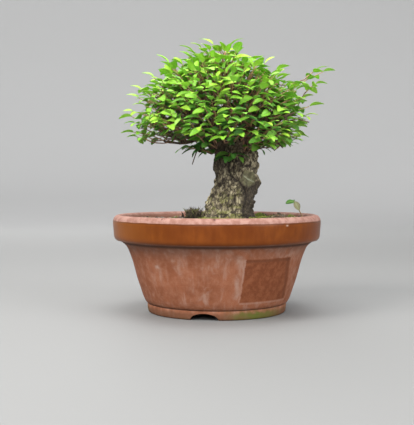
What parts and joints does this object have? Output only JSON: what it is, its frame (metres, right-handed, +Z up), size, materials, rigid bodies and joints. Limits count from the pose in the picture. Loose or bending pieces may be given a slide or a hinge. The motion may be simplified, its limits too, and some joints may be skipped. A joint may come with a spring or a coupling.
{
  "type": "bonsai tree",
  "caption": "Zelkova bonsai with a short corky trunk and a domed crown of small toothed leaves, in a round flared clay pot with a glazed rim band.",
  "frame": {"origin": "on the ground under the pot, below the middle of the whole object's bounding box", "axes": "+Z up, -Y towards the tree's front, +X to the right as seen from the front"},
  "size_m": [0.1936, 0.18, 0.2369],
  "materials": {
    "net_plastic": "matte",
    "moss": "matte",
    "wire": "satin",
    "terracotta": "matte",
    "weed_green": "satin",
    "leaf_green": "satin",
    "soil": "matte",
    "bark": "matte"
  },
  "bodies": {
    "root": {"drain_net": "net_plastic", "moss_clump_left": "moss", "moss_clump_right": "moss", "net_wire": "wire", "pot": "terracotta", "seedling": "weed_green", "shoot_01": "leaf_green", "shoot_02": "leaf_green", "shoot_03": "leaf_green", "shoot_04": "leaf_green", "shoot_05": "leaf_green", "shoot_06": "leaf_green", "shoot_07": "leaf_green", "shoot_08": "leaf_green", "shoot_09": "leaf_green", "shoot_10": "leaf_green", "shoot_11": "leaf_green", "shoot_12": "leaf_green", "shoot_13": "leaf_green", "shoot_14": "leaf_green", "shoot_15": "leaf_green", "shoot_16": "leaf_green", "shoot_17": "leaf_green", "shoot_18": "leaf_green", "shoot_19": "leaf_green", "shoot_20": "leaf_green", "shoot_21": "leaf_green", "shoot_22": "leaf_green", "shoot_23": "leaf_green", "shoot_24": "leaf_green", "shoot_25": "leaf_green", "shoot_26": "leaf_green", "shoot_27": "leaf_green", "shoot_28": "leaf_green", "shoot_29": "leaf_green", "shoot_30": "leaf_green", "shoot_31": "leaf_green", "shoot_32": "leaf_green", "shoot_33": "leaf_green", "shoot_34": "leaf_green", "shoot_35": "leaf_green", "shoot_36": "leaf_green", "shoot_37": "leaf_green", "shoot_38": "leaf_green", "shoot_39": "leaf_green", "shoot_40": "leaf_green", "shoot_41": "leaf_green", "shoot_42": "leaf_green", "shoot_43": "leaf_green", "shoot_44": "leaf_green", "shoot_45": "leaf_green", "shoot_46": "leaf_green", "shoot_47": "leaf_green", "shoot_48": "leaf_green", "shoot_49": "leaf_green", "shoot_50": "leaf_green", "soil": "soil", "tree_wood": "bark"}
  },
  "joints": []
}
